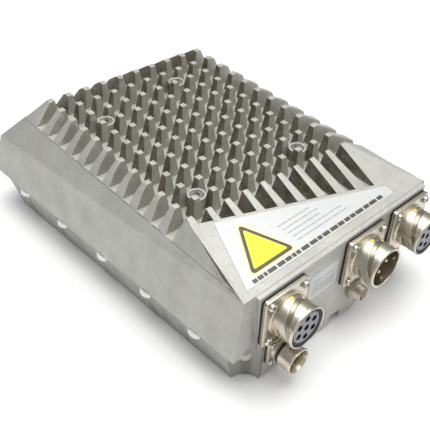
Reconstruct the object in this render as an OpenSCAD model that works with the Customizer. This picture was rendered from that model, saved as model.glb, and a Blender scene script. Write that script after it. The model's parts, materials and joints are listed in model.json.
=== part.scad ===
// Decentralised servo drive: a pin-finned upper casting on a screwed lower tray, with round bayonet
// receptacles and small signal receptacles on its front wall. The origin is at the middle of the
// underside, +Z is up and the receptacles face -Y.

/* [Housing] */
// Width of the casting at the parting line
body_w = 189; // [186:1:230]
// Length of the casting, from front wall to rear wall
body_l = 265; // [262:1:320]
// Height from the underside of the tray to the pin tips
body_h = 94.5; // [92:0.5:115]
// Height of the lower tray
tray_h = 30; // [29:0.5:36]
// Wall thickness of both castings
wall_t = 8.5; // [7.5:0.25:9]

/* [Pin fins] */
// Number of fin columns across the width
fin_cols = 10; // [8:1:10]
// Number of fin rows along the length
fin_rows = 12; // [8:1:12]
// Spacing of the pins
fin_pitch = 15; // [14:0.25:15]
// Depth of the grooves between the pins
fin_depth = 15.5; // [12:0.5:16]
// Width of a pin at its tip
fin_tip = 4.3; // [4:0.1:6]
// Width of the groove floor between two pins
groove_floor = 6.4; // [5.5:0.1:7]
// Angle of the pin grid to the housing
fin_skew = 4.5; // [0:0.5:5]

/* [Power receptacles] */
// Side of the square flange
flange_w = 38.1; // [36:0.1:40]
// Spacing of the flange screws
flange_hole_s = 29.4; // [28:0.1:31]
// Outside diameter of the receptacle shell
shell_d = 29.6; // [28:0.1:30]
// How far a receptacle stands out of the front wall
shell_out = 21.5; // [20:0.5:26]
// Height of the receptacle axes above the underside
conn_z = 56; // [55:0.5:58]
// Position of the first receptacle across the width
conn_a_x = -58.5; // [-59:0.5:-56]
// Position of the second receptacle across the width
conn_b_x = 19; // [17:0.5:20]
// Position of the third receptacle across the width
conn_c_x = 66.5; // [66:0.5:67]

/* [Signal receptacles] */
// Side of the small square flange
sig_flange_w = 21; // [20:0.5:22]
// Outside diameter of the small plated sleeve
sig_d = 19.2; // [18:0.1:20]
// Height of the small receptacle axes above the underside
sig_z = 23.5; // [22.5:0.5:24]
// Outside diameter of the threaded sensor receptacle
sensor_d = 12; // [11:0.1:13]

/* [Mounting] */
// Radius of the notch in each lower corner for a mounting screw
notch_r = 12.3; // [11:0.1:13]
// Distance between the notch axes across the width
notch_s = 168; // [166:1:170]

/* [Clearances] */
// Gap between a fastener and its hole
screw_gap = 0.3; // [0.2:0.05:0.5]
// Gap between round parts that lie one in another
round_gap = 0.3; // [0.25:0.05:0.4]
// Gap between flat parts that only face each other
face_gap = 0.2; // [0.1:0.05:0.5]

/* [View] */
// Piece to draw, or all

/* [Hidden] */
$fn = 48;
eps = 0.01;

// fixed places in the housing
conn_axes = [conn_a_x, conn_b_x, conn_c_x];
total_l = body_l + shell_out;
front_y = -total_l / 2 + shell_out;
rear_y = total_l / 2;
half_w = body_w / 2;
part_z = tray_h;
roof_z = body_h - fin_depth;
grid_y = front_y + 149.25;
wall_proud = 3;
skin_y = front_y + wall_proud;
land_drop = 1.6;
front_top_z = roof_z - land_drop;
draft_x = 5;
fold_w = half_w - draft_x;
fold_front_z = roof_z - 1.2;
fold_rear_z = roof_z - 18.5;
shoulder_rear_x = half_w - 18;
shoulder_front_x = half_w - 6.5;
shoulder_rear_y = rear_y - 21;
shoulder_front_y = skin_y + 8;
fold_rear_y = rear_y - 5.5;

// half width of the shoulder line, where the fins begin, at a place along the housing
function shoulder_x(y) = shoulder_front_x + (shoulder_rear_x - shoulder_front_x)
  * (y - shoulder_front_y) / (shoulder_rear_y - shoulder_front_y);

// a convex solid around a list of points
module around(points) {
  hull()
    polyhedron(points = points, faces = [for (i = [1:len(points) - 2]) [0, i, i + 1]]);
}

// points of the side view, pushed along X
module along_x(x0, x1) {
  translate([x0, 0, 0])
    rotate([90, 0, 90])
      linear_extrude(x1 - x0)
        children();
}

// points of the front view, pushed along Y
module along_y(y0, y1) {
  translate([0, y1, 0])
    rotate([90, 0, 0])
      linear_extrude(y1 - y0)
        children();
}

// a cylinder whose axis points out of the front wall
module out_cyl(d, y0, y1) {
  translate([0, y1, 0])
    rotate([90, 0, 0])
      cylinder(d = d, h = y1 - y0);
}

// the lower body of the upper casting
module casting_body() {
  around([
    for (s = [-1, 1]) each [
      [s * half_w, skin_y, part_z], [s * half_w, rear_y, part_z],
      [s * fold_w, skin_y, fold_front_z], [s * fold_w, fold_rear_y, fold_rear_z],
      [s * shoulder_front_x, shoulder_front_y, roof_z], [s * shoulder_rear_x, shoulder_rear_y, roof_z]
    ]
  ]);
}

// the block from which the pins are cut, narrow at the tips
tip_half = (fin_cols - 1) / 2 * fin_pitch + fin_tip / 2;
tip_rear_y = 5 * fin_pitch + fin_tip / 2;
tip_front_y = tip_rear_y - (fin_rows - 1) * fin_pitch - 1;

function skewed(x, y, z) = [x * cos(fin_skew) + y * sin(fin_skew),
  grid_y - x * sin(fin_skew) + y * cos(fin_skew), z];

fin_front_l_y = skin_y + 17;
fin_foot = 1;
fin_flare = 0.4;
module fin_block() {
  around([
    skewed(-tip_half, tip_rear_y, body_h), skewed(tip_half, tip_rear_y, body_h),
    skewed(-tip_half, tip_front_y, body_h), skewed(tip_half, tip_front_y, body_h),
    [-shoulder_rear_x - fin_flare, shoulder_rear_y, roof_z - fin_foot],
    [shoulder_rear_x + 5, shoulder_rear_y - 2, roof_z - fin_foot],
    [-shoulder_x(fin_front_l_y) - fin_flare, fin_front_l_y, roof_z - fin_foot],
    [shoulder_front_x, skin_y + 4, roof_z - fin_foot]
  ]);
}

// one groove, open at the top, along its own Y axis
groove_top = fin_pitch - fin_tip;
module groove(length) {
  rotate([90, 0, 0])
    linear_extrude(length, center = true)
      polygon([[-groove_floor / 2, 0], [groove_floor / 2, 0],
        [groove_top / 2 + 2, fin_depth * (1 + 4 / (groove_top - groove_floor))],
        [-groove_top / 2 - 2, fin_depth * (1 + 4 / (groove_top - groove_floor))]]);
}

module fin_grid_frame() {
  translate([0, grid_y, roof_z])
    rotate([0, 0, -fin_skew])
      children();
}

module fin_grooves() {
  fin_grid_frame() {
    for (i = [1:fin_cols - 1])
      translate([(i - fin_cols / 2) * fin_pitch, 0, 0])
        groove(2 * body_l);
    for (j = [1:fin_rows - 1])
      translate([0, (5.5 - j) * fin_pitch, 0])
        rotate([0, 0, 90])
          groove(2 * body_w);
  }
}

// the smooth land that carries the nameplate
land_back_l = 59;
land_back_r = 7;
land_slope = (fin_depth - 0.25) / (wall_proud + land_back_l);

function land_z(y) = front_top_z + (y - front_y) * land_slope;

module label_land() {
  top = [[-half_w + 17, skin_y + land_back_l], [half_w - 9.5, skin_y + land_back_r],
    [-fold_w, skin_y], [fold_w, skin_y]];
  around([
    for (p = top) [p[0], p[1], land_z(p[1])],
    for (p = top) [p[0], p[1], roof_z - 8]
  ]);
}

// the front wall, with the lobe that reaches down over the tray
wall_l_top = -half_w + 14.5;
wall_r_top = half_w - 8;
wall_l_mid = -half_w + 19;
wall_l_low = -half_w + 24.5;
lobe_r = 31;
lobe_bottom = 1.5;
wall_bottom = 24;
module front_wall() {
  intersection() {
    along_y(front_y, skin_y + wall_t)
      difference() {
        polygon([[wall_l_top, roof_z], [wall_r_top, roof_z], [wall_r_top - 3, part_z],
          [-wall_l_low, part_z], [-wall_l_low, wall_bottom], [lobe_r, wall_bottom],
          [lobe_r, lobe_bottom + 6], [lobe_r - 2, lobe_bottom + 2.4], [lobe_r - 6, lobe_bottom],
          [wall_l_low, lobe_bottom], [wall_l_low, part_z], [wall_l_mid, part_z]]);
        translate([-2, 0])
          square([10.5, 8]);
      }
    along_x(-half_w, half_w)
      polygon([[front_y, 0], [skin_y + wall_t, 0],
        [skin_y + wall_t, front_top_z - 1], [skin_y, land_z(skin_y) - 0.05], [front_y, front_top_z]]);
  }
}

// hollow of the upper casting
roof_t = 6;
ceiling_z = roof_z - roof_t;
module cavity() {
  intersection() {
    along_y(skin_y + wall_t, rear_y - wall_t)
      polygon([[-half_w + wall_t, part_z - 1], [half_w - wall_t, part_z - 1],
        [fold_w - wall_t + 1.5, fold_rear_z - 2], [shoulder_rear_x - 7, ceiling_z],
        [-shoulder_rear_x + 7, ceiling_z], [-fold_w + wall_t - 1.5, fold_rear_z - 2]]);
    along_x(-half_w, half_w)
      polygon([[skin_y + wall_t, part_z - 1], [skin_y + wall_t, front_top_z - 8],
        [skin_y + wall_t + 12, ceiling_z], [shoulder_rear_y - 8, ceiling_z],
        [fold_rear_y - 8, fold_rear_z - 2], [rear_y - wall_t, part_z - 1]]);
  }
}

// tray screws: along both sides and across both ends, with a lug beside each side screw
side_screw_from_rear = [38.25, 85.75, 132.25, 178.75, 226.25];
screw_x = half_w - 17.5;
end_screw_xs = [-58, 58];
end_screw_y = rear_y - 18.5;
front_screw_xs = [-38, 46];
front_screw_y = skin_y + 16;
boss_d = 13.6;
lug_x = half_w - 5.3;
lug_t = 3.5;
tray_screw_d = 5;
tray_screw_places = concat(
  [for (y = side_screw_from_rear, s = [-1, 1]) [s * screw_x, rear_y - y, 90 - s * 90]],
  [for (x = end_screw_xs) [x, end_screw_y, 90]],
  [for (x = front_screw_xs) [x, front_screw_y, -90]]);
tap_depth = 11;
tap_cap = 2;
screw_head_d = 8.5;
screw_head_h = 5;
head_recess_d = 10;
head_recess_h = 6;
stub_d = 8;
stub_h = 3;
stub_x = notch_s / 2 - 1.5;
stub_y = skin_y + 1.5;

// a column round each tray screw, joined to the wall beside it
column_rib = 12;
module screw_columns(z0, h) {
  for (p = tray_screw_places)
    translate([p[0], p[1], z0]) {
      cylinder(d = boss_d, h = h);
      rotate([0, 0, p[2]])
        translate([0, -boss_d / 2, 0])
          cube([column_rib, boss_d, h]);
    }
}

module at_lugs() {
  for (y = side_screw_from_rear, s = [-1, 1])
    translate([s * lug_x, rear_y - y, 0])
      children();
}

module at_tray_screws() {
  for (p = tray_screw_places)
    translate([p[0], p[1], 0])
      children();
}

// screws through the roof into the power module, one per screw boss
module_boss_cells = [[2, 3], [7, 2], [2, 10], [8, 10]];
module_boss_d = 13;
module_boss_h = fin_depth - 6;
module_screw_d = 5;
module module_boss_places() {
  fin_grid_frame()
    for (c = module_boss_cells)
      translate([(c[0] - fin_cols / 2) * fin_pitch, (5.5 - c[1]) * fin_pitch, 0])
        children();
}

module conn_hole(x, z, d) {
  translate([x, 0, z])
    out_cyl(d, front_y - 1, skin_y + wall_t + 1);
}

module blind_hole(x, z, d, depth) {
  translate([x, 0, z])
    out_cyl(d, front_y - 1, front_y + depth);
}

insert_bore = 22;
conn_screw_d = 3;
sig_hole_d = 13;
sig_hole_s = 15.4;
sig_screw_d = 2.5;
corners = [[-1, -1], [1, -1], [1, 1], [-1, 1]];
screw_depth = 7;

module standoff_places() {
  for (x = [-1, 1], y = [-1, 1])
    translate([x * board_hole_x, board_y + y * board_hole_y, 0])
      children();
}

module heatsink_casting() {
  color([0.78, 0.78, 0.75])
    difference() {
      union() {
        difference() {
          fin_block();
          fin_grooves();
        }
        module_boss_places()
          translate([0, 0, -1])
            cylinder(d = module_boss_d, h = module_boss_h + 1);
        casting_body();
        label_land();
        front_wall();
        for (s = [-1, 1])
          translate([s * stub_x, stub_y, part_z - stub_h])
            cylinder(d = stub_d, h = stub_h + 2);
      }
      difference() {
        cavity();
        screw_columns(part_z, tap_depth + tap_cap);
      }
      module_boss_places() {
        translate([0, 0, -roof_t - 8])
          cylinder(d = module_screw_d + 2 * screw_gap, h = 40);
        translate([0, 0, module_boss_h - 5.5])
          cylinder(d = 9.4, h = 20);
      }
      at_tray_screws()
        translate([0, 0, part_z - 1])
          cylinder(d = tray_screw_d + 2 * screw_gap, h = tap_depth + 1);
      for (x = conn_axes) {
        conn_hole(x, conn_z, insert_bore + 2 * round_gap);
        for (c = corners)
          blind_hole(x + c[0] * flange_hole_s / 2, conn_z + c[1] * flange_hole_s / 2,
            conn_screw_d + 2 * screw_gap, screw_depth + 1);
      }
      conn_hole(conn_a_x, sig_z, sig_hole_d + 2 * round_gap);
      for (c = corners)
        blind_hole(conn_a_x + c[0] * sig_hole_s / 2, sig_z + c[1] * sig_hole_s / 2,
          sig_screw_d + 2 * screw_gap, screw_depth);
      conn_hole(conn_b_x, sig_z, sensor_d - 1 + 2 * round_gap);
    }
}

// lower tray, whose sides and rear lean in towards the underside
tray_w = body_w - 21;
tray_top_w = body_w - 3;
tray_front = skin_y + wall_t + face_gap + 0.3;
tray_rear = rear_y - 6;
tray_top_rear = rear_y - 1.5;
tray_wall = 6;
tray_floor = 5;
gasket_t = 0.6;
tray_top = part_z - gasket_t;
notch_front_y = front_y;
notch_rear_y = tray_rear;
window_l = -half_w + 26;
window_w = lobe_r - 4 - window_l;
window_z = 9;
ear_w = wall_l_low - 1 + tray_top_w / 2;

module tray_body() {
  intersection() {
    along_y(tray_front, rear_y)
      polygon([[-tray_w / 2, 0], [tray_w / 2, 0], [tray_top_w / 2, tray_top], [-tray_top_w / 2, tray_top]]);
    along_x(-half_w, half_w)
      polygon([[tray_front, 0], [tray_rear, 0], [tray_top_rear, tray_top], [tray_front, tray_top]]);
  }
}

module tray_ears() {
  for (s = [0, 1])
    mirror([s, 0, 0])
      along_y(front_y, tray_front + 1)
        polygon([[-tray_w / 2, 0], [wall_l_low - 1, 0], [wall_l_low - 1, tray_top], [-tray_top_w / 2, tray_top]]);
}

module tray_hollow() {
  intersection() {
    along_y(tray_front + tray_wall, rear_y)
      polygon([[-tray_w / 2 + tray_wall, tray_floor], [tray_w / 2 - tray_wall, tray_floor],
        [tray_top_w / 2 - tray_wall, tray_h], [-tray_top_w / 2 + tray_wall, tray_h]]);
    along_x(-half_w, half_w)
      polygon([[tray_front, tray_floor], [tray_rear - tray_wall, tray_floor],
        [tray_top_rear - tray_wall, tray_h], [tray_front, tray_h]]);
  }
}

module corner_notches(extra, z0, z1) {
  for (x = [-1, 1], y = [notch_front_y, notch_rear_y])
    translate([x * notch_s / 2, y, z0])
      cylinder(r = notch_r + extra, h = z1 - z0);
}

module lower_tray() {
  color([0.42, 0.42, 0.41])
    difference() {
      union() {
        difference() {
          union() {
            tray_body();
            tray_ears();
          }
          corner_notches(0, -1, tray_h);
        }
        at_lugs()
          translate([0, 0, tray_top - lug_t])
            cylinder(d = boss_d, h = lug_t);
      }
      difference() {
        tray_hollow();
        corner_notches(tray_wall, 0, tray_h + 1);
        screw_columns(0, tray_h + 1);
        standoff_places()
          cylinder(d = 9, h = tray_floor + standoff_base_h);
      }
      translate([window_l, tray_front - 1, window_z])
        cube([window_w, tray_wall + 2, tray_h]);
      at_tray_screws() {
        translate([0, 0, -1])
          cylinder(d = tray_screw_d + 2 * screw_gap, h = tray_h + 2);
        translate([0, 0, -1])
          cylinder(d = head_recess_d, h = head_recess_h + 1);
      }
      standoff_places()
        translate([0, 0, 2])
          cylinder(d = board_screw_d + 2 * screw_gap, h = tray_h);
    }
}

gasket_out = 3;
gasket_in = 9;
module gasket_edge(inset) {
  translate([-half_w + inset, tray_front + inset - gasket_out])
    square([body_w - 2 * inset, rear_y - tray_front - 2 * inset + gasket_out]);
}

module housing_gasket() {
  color(dark_rubber)
    translate([0, 0, tray_top])
      linear_extrude(gasket_t)
        difference() {
          gasket_edge(gasket_out);
          gasket_edge(gasket_in);
          translate([window_l, tray_front - 1])
            square([window_w, wall_t]);
          for (x = [-1, 1], y = [notch_front_y, notch_rear_y])
            translate([x * notch_s / 2, y])
              circle(r = notch_r + 1);
          for (p = tray_screw_places)
            translate([p[0], p[1]])
              circle(d = tray_screw_d + 2);
        }
}

module tray_screws() {
  color([0.7, 0.7, 0.72])
    at_tray_screws()
      difference() {
        union() {
          translate([0, 0, head_recess_h - screw_head_h])
            cylinder(d = screw_head_d, h = screw_head_h);
          cylinder(d = tray_screw_d, h = part_z + tap_depth - 1);
        }
        translate([0, 0, -1])
          cylinder(d = screw_head_d + 1, h = head_recess_h - screw_head_h + 1);
        translate([0, 0, -1])
          cylinder(d = hex_socket_d, h = head_recess_h - 1, $fn = 6);
      }
}

hex_socket_d = 4.6;
plate_t = 4;
pad_t = 0.5;
plate_z = ceiling_z - pad_t - plate_t;
module module_screws() {
  color([0.75, 0.75, 0.76])
    module_boss_places() {
      head_z = module_boss_h - 5.5;
      difference() {
        union() {
          translate([0, 0, head_z])
            cylinder(d = screw_head_d, h = screw_head_h);
          translate([0, 0, plate_z - roof_z + 0.5])
            cylinder(d = module_screw_d, h = roof_z - plate_z + head_z);
        }
        translate([0, 0, head_z + 2])
          cylinder(d = hex_socket_d, h = 4, $fn = 6);
      }
    }
}

// the land's own frame: X across, Y up the slope, Z out of the surface
module on_land(lift) {
  translate([0, front_y, front_top_z])
    rotate([atan(land_slope), 0, 0])
      translate([0, 0, lift])
        children();
}

plate_label_t = 0.3;
label_lift = 0.02;
label_l = -half_w + 12.7;
label_r = half_w - 36;
label_low = 8.6;
label_high = 57.2;
label_lean = 17.5;
module nameplate() {
  color([0.94, 0.95, 0.96])
    on_land(label_lift)
      linear_extrude(plate_label_t)
        polygon([[label_l, label_low], [label_r - 1, label_low], [label_r + 1, label_low + 1.4],
          [label_r + 1.4, label_low + 4.4], [label_r - 1, label_low + 7],
          [label_l + label_lean + 2, label_high], [label_l + label_lean, label_high - 0.4]]);
}

print_t = 0.1;
sym_x = label_l + 29.4;
sym_y = label_low + 17.4;
sym_r = 22.4;
module nameplate_symbol() {
  color([0.98, 0.9, 0.15])
    on_land(label_lift + plate_label_t)
      translate([sym_x, sym_y, 0])
        linear_extrude(print_t)
          polygon([for (a = [90, 210, 330]) [sym_r * cos(a), sym_r * sin(a)]]);
}

bar_l = 126;
bar_w = 3;
line_x = label_l + 51;
line_w = 0.9;
line_step = 3.6;
line_lengths = [49, 47, 31, 33, 30];
module nameplate_bars() {
  color([0.3, 0.3, 0.32])
    on_land(label_lift + plate_label_t) {
      translate([label_l + 7, label_low + 1.2, 0])
        cube([bar_l, bar_w, print_t]);
      for (i = [0:len(line_lengths) - 1])
        translate([line_x - i * 0.8, label_low + 9 + i * line_step, 0])
          cube([line_lengths[i], line_w, print_t]);
    }
}

sticker_l = 28;
sticker_h = 21;
module serial_sticker() {
  color([0.93, 0.94, 0.95])
    along_y(front_y - 0.25, front_y - label_lift)
      translate([-32.5, 43.5])
        square([sticker_l, sticker_h]);
}

// square flange with rounded corners, in the front view
module flange_outline(w, r) {
  square([w - 2 * r, w], center = true);
  square([w, w - 2 * r], center = true);
  for (c = corners)
    translate([c[0] * (w / 2 - r), c[1] * (w / 2 - r)])
      circle(r = r);
}

module flange_plate(w, hole_s, hole_d, y0, y1) {
  along_y(y0, y1)
    difference() {
      flange_outline(w, 2.5);
      for (c = corners)
        translate([c[0] * hole_s / 2, c[1] * hole_s / 2])
          circle(d = hole_d);
    }
}

gasket_th = 1;
flange_t = 3.2;
flange_y0 = front_y - gasket_th - flange_t;
flange_y1 = front_y - gasket_th;
tip_y = front_y - shell_out;
spigot_y = skin_y + wall_t + 2;
cup_d = shell_d - 2.2;
web_y = flange_y0 - 2;
barrel_d = shell_d - 0.8;
rim_l = 2.2;

module power_shell(cup) {
  difference() {
    union() {
      flange_plate(flange_w, flange_hole_s, conn_screw_d + 2 * screw_gap, flange_y0, flange_y1);
      out_cyl(barrel_d, tip_y + rim_l - 1, flange_y0 + 1);
      out_cyl(shell_d, tip_y, tip_y + rim_l);
      out_cyl(insert_bore, flange_y1 - 1, spigot_y);
    }
    out_cyl(cup, tip_y - 1, web_y);
    out_cyl(insert_bore - 3, tip_y, spigot_y + 1);
  }
}

module power_gasket() {
  along_y(flange_y1, front_y)
    difference() {
      flange_outline(flange_w - 0.4, 2.5);
      circle(d = insert_bore + 2);
      for (c = corners)
        translate([c[0] * flange_hole_s / 2, c[1] * flange_hole_s / 2])
          circle(d = conn_screw_d + 2);
    }
}

contact_ring_r = 7.4;
contact_d = 3.4;
socket_hole_d = 4.2;
function ring_places(n, r) = [for (i = [0:n - 1]) [r * cos(i * 360 / n + 90), r * sin(i * 360 / n + 90)]];
socket_places = concat([[0, 0]], ring_places(6, contact_ring_r));
pin_places = ring_places(4, 6);
insert_face_y = tip_y + 1;
insert_d = 22.6;
socket_recess = 6;
shaft_d = insert_bore - 3 - 2 * round_gap;
contact_end_y = spigot_y + 5;

module socket_insert() {
  difference() {
    union() {
      out_cyl(insert_d, insert_face_y, web_y);
      out_cyl(shaft_d, web_y - 1, spigot_y);
    }
    for (p = socket_places)
      translate([p[0], 0, p[1]]) {
        out_cyl(socket_hole_d, insert_face_y - 1, insert_face_y + socket_recess + 5);
        out_cyl(contact_d + 0.1, insert_face_y, spigot_y + 1);
      }
  }
}

module socket_contacts() {
  for (p = socket_places)
    translate([p[0], 0, p[1]])
      difference() {
        out_cyl(contact_d, insert_face_y + socket_recess, contact_end_y);
        out_cyl(contact_d - 1.2, insert_face_y + 1, insert_face_y + socket_recess + 7);
      }
}

module insert_seal() {
  along_y(insert_face_y - 0.3, web_y)
    difference() {
      circle(d = cup_d - 2 * round_gap);
      circle(d = insert_d + 2 * round_gap);
    }
}

pin_cup_d = shell_d - 3.4;
pin_base_y = web_y - 4;
pin_d = 2.6;
pin_reach = 6;
module pin_insert() {
  difference() {
    union() {
      out_cyl(pin_cup_d - 2 * round_gap, pin_base_y, web_y);
      out_cyl(shaft_d, web_y - 1, spigot_y);
    }
    for (p = pin_places)
      translate([p[0], 0, p[1]])
        out_cyl(pin_d + 0.1, pin_base_y - 1, spigot_y + 1);
  }
}

module pin_contacts() {
  for (p = pin_places)
    translate([p[0], 0, p[1]]) {
      out_cyl(pin_d, pin_base_y - pin_reach, contact_end_y);
      translate([0, pin_base_y - pin_reach, 0])
        sphere(d = pin_d);
    }
}

module at_conn(x) {
  translate([x, 0, conn_z])
    children();
}

nickel = [0.78, 0.74, 0.63];
dark_rubber = [0.08, 0.08, 0.09];
grey_insert = [0.55, 0.56, 0.6];
gold = [0.8, 0.66, 0.35];
module conn_a_shell() {
  color(nickel)
    at_conn(conn_a_x)
      power_shell(cup_d);
}

module conn_a_gasket() {
  color(dark_rubber)
    at_conn(conn_a_x)
      power_gasket();
}

module conn_a_insert() {
  color(grey_insert)
    at_conn(conn_a_x)
      socket_insert();
}

module conn_a_seal() {
  color(dark_rubber)
    at_conn(conn_a_x)
      insert_seal();
}

module conn_a_contacts() {
  color(gold)
    at_conn(conn_a_x)
      socket_contacts();
}

module conn_b_shell() {
  color(nickel)
    at_conn(conn_b_x)
      power_shell(pin_cup_d);
}

module conn_b_gasket() {
  color(dark_rubber)
    at_conn(conn_b_x)
      power_gasket();
}

module conn_b_insert() {
  color([0.25, 0.18, 0.12])
    at_conn(conn_b_x)
      pin_insert();
}

module conn_b_contacts() {
  color([0.85, 0.8, 0.62])
    at_conn(conn_b_x)
      pin_contacts();
}

module conn_c_shell() {
  color(nickel)
    at_conn(conn_c_x)
      power_shell(cup_d);
}

module conn_c_gasket() {
  color(dark_rubber)
    at_conn(conn_c_x)
      power_gasket();
}

module conn_c_insert() {
  color(grey_insert)
    at_conn(conn_c_x)
      socket_insert();
}

module conn_c_seal() {
  color(dark_rubber)
    at_conn(conn_c_x)
      insert_seal();
}

module conn_c_contacts() {
  color(gold)
    at_conn(conn_c_x)
      socket_contacts();
}

module pan_screw(d, head_d, head_h, face_y, depth) {
  difference() {
    union() {
      out_cyl(head_d, face_y - head_h, face_y);
      out_cyl(d, face_y - 1, face_y + depth);
    }
    along_y(face_y - head_h - 1, face_y - head_h + 1)
      circle(d = head_d * 0.45, $fn = 6);
  }
}

module flange_screws() {
  color([0.75, 0.75, 0.74])
    for (x = conn_axes, c = corners)
      translate([x + c[0] * flange_hole_s / 2, 0, conn_z + c[1] * flange_hole_s / 2])
        pan_screw(conn_screw_d, 5.5, 2.4, flange_y0, flange_t + gasket_th + screw_depth);
}

mark_d = 2.4;
mark_t = 0.12;
mark_lift = 0.02;
mark_angles = [0, -125];
module index_marks() {
  color([0.98, 0.85, 0.1])
    for (x = conn_axes, a = mark_angles)
      at_conn(x)
        rotate([0, a, 0])
          translate([0, flange_y0 - 2.6, barrel_d / 2 + mark_lift])
            cylinder(d = mark_d, h = mark_t);
}

sig_flange_t = 2.4;
sig_y0 = front_y - gasket_th - sig_flange_t;
sig_tip_y = front_y - 19.5;
sleeve_l = 10.5;
sleeve_y1 = sig_tip_y + sleeve_l;
sig_neck_d = 14.6;
sleeve_wall = 0.9;

module at_signal() {
  translate([conn_a_x, 0, sig_z])
    children();
}

module signal_flange() {
  color(nickel)
    at_signal()
      difference() {
        union() {
          flange_plate(sig_flange_w, sig_hole_s, sig_screw_d + 2 * screw_gap, sig_y0, front_y - gasket_th);
          out_cyl(sig_neck_d, sleeve_y1 - 3, sig_y0 + 1);
          out_cyl(sig_neck_d + 2, sig_y0 - 2.2, sig_y0 + 1);
          out_cyl(sig_hole_d, front_y - 2, spigot_y - 3);
        }
        out_cyl(10.6, sleeve_y1 - 4, spigot_y);
      }
}

module signal_gasket() {
  color(dark_rubber)
    at_signal()
      along_y(front_y - gasket_th, front_y)
        difference() {
          flange_outline(sig_flange_w - 0.4, 2.2);
          circle(d = sig_hole_d + 1);
          for (c = corners)
            translate([c[0] * sig_hole_s / 2, c[1] * sig_hole_s / 2])
              circle(d = sig_screw_d + 1.4);
        }
}

module signal_ring() {
  color(dark_rubber)
    at_signal()
      along_y(sleeve_y1 + 0.02, sleeve_y1 + 1.6)
        difference() {
          circle(d = sig_d - 1.4);
          circle(d = sig_neck_d + 0.1);
        }
}

module signal_sleeve() {
  color(nickel)
    at_signal()
      difference() {
        union() {
          out_cyl(sig_d - 0.8, sig_tip_y + 1, sleeve_y1);
          out_cyl(sig_d, sig_tip_y, sig_tip_y + 1.8);
        }
        out_cyl(sig_d - 0.8 - 2 * sleeve_wall, sig_tip_y - 1, sleeve_y1 - 2.6);
        out_cyl(sig_neck_d + 0.1, sig_tip_y, sleeve_y1 + 1);
      }
}

sig_pin_d = 1;
sig_pins = ring_places(7, 3.6);
module signal_insert() {
  color([0.2, 0.18, 0.13])
    at_signal()
      difference() {
        out_cyl(10, sleeve_y1 - 3, spigot_y - 3);
        for (p = sig_pins)
          translate([p[0], 0, p[1]])
            out_cyl(sig_pin_d + 0.1, sig_tip_y, spigot_y);
      }
}

sig_end_y = spigot_y + 1;
module signal_pins() {
  color([0.85, 0.72, 0.4])
    at_signal()
      for (p = sig_pins)
        translate([p[0], 0, p[1]])
          out_cyl(sig_pin_d, sleeve_y1 - 8, sig_end_y);
}

module signal_screws() {
  color([0.75, 0.75, 0.74])
    at_signal()
      for (c = corners)
        translate([c[0] * sig_hole_s / 2, 0, c[1] * sig_hole_s / 2])
          pan_screw(sig_screw_d, 4.4, 2, sig_y0, sig_flange_t + gasket_th + screw_depth - 1);
}

sensor_out = 9.3;
nut_t = 3;
module at_sensor() {
  translate([conn_b_x, 0, sig_z])
    children();
}

module sensor_body() {
  color(nickel)
    at_sensor()
      difference() {
        union() {
          out_cyl(sensor_d, front_y - sensor_out, front_y - nut_t - 1.2);
          out_cyl(sensor_d - 0.6, front_y - sensor_out - 0.8, front_y - sensor_out + 1);
          out_cyl(15.2, front_y - nut_t - 1.3, front_y - nut_t);
          out_cyl(sensor_d - 1, front_y - nut_t - 1, spigot_y - 3);
        }
        out_cyl(sensor_d - 2.4, front_y - sensor_out - 1, front_y - 2);
        out_cyl(sensor_d - 4, front_y - 3, spigot_y);
      }
}

module sensor_nut() {
  color([0.74, 0.7, 0.6])
    at_sensor()
      along_y(front_y - nut_t, front_y)
        difference() {
          circle(d = 17, $fn = 6);
          circle(d = sensor_d - 1 + 0.1);
        }
}

sensor_pins_at = ring_places(4, 2.2);
module sensor_insert() {
  color([0.15, 0.14, 0.12])
    at_sensor()
      difference() {
        union() {
          out_cyl(sensor_d - 3, front_y - 5, front_y - 2);
          out_cyl(sensor_d - 4.6, front_y - 3, spigot_y - 3);
        }
        for (p = sensor_pins_at)
          translate([p[0], 0, p[1]])
            out_cyl(sig_pin_d + 0.1, front_y - 10, spigot_y);
      }
}

module sensor_pins() {
  color([0.85, 0.72, 0.4])
    at_sensor()
      for (p = sensor_pins_at)
        translate([p[0], 0, p[1]])
          out_cyl(sig_pin_d, front_y - 8.5, sig_end_y);
}

// power electronics under the roof
plate_box = [[-64, grid_y - 85.5], [54, grid_y + 64.5]];
plate_w = plate_box[1][0] - plate_box[0][0];
plate_l = plate_box[1][1] - plate_box[0][1];
module plate_shape(z, t) {
  difference() {
    translate([plate_box[0][0], plate_box[0][1], z])
      cube([plate_w, plate_l, t]);
    module_boss_places()
      cylinder(d = module_screw_d + 2 * screw_gap, h = 80, center = true);
  }
}

module thermal_pad() {
  color([0.8, 0.55, 0.6])
    plate_shape(ceiling_z - pad_t, pad_t);
}

module_body_h = 14;
board_top_z = plate_z - module_body_h;
board_t = 1.6;
module power_module() {
  color([0.2, 0.2, 0.21]) {
    plate_shape(plate_z, plate_t);
    translate([-40, grid_y - 53.5, board_top_z])
      cube([70, 86, module_body_h + 1]);
  }
}

power_board_l = 168;
power_board_y = front_y + 29.75;
module power_board() {
  color([0.08, 0.3, 0.16])
    translate([-72, power_board_y, board_top_z - board_t])
      cube([144, power_board_l, board_t]);
}

cap_d = 25;
cap_h = 26;
module dc_link_capacitors() {
  color([0.12, 0.13, 0.2])
    for (x = [-50, -20], y = [-37.5, -7.5])
      translate([x, grid_y + y, board_top_z - board_t - cap_h])
        cylinder(d = cap_d, h = cap_h);
}

module link_inductor() {
  color([0.62, 0.36, 0.16])
    translate([36, grid_y - 19.5, board_top_z - board_t - 10])
      rotate_extrude()
        translate([14, 0])
          circle(d = 20);
}

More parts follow.
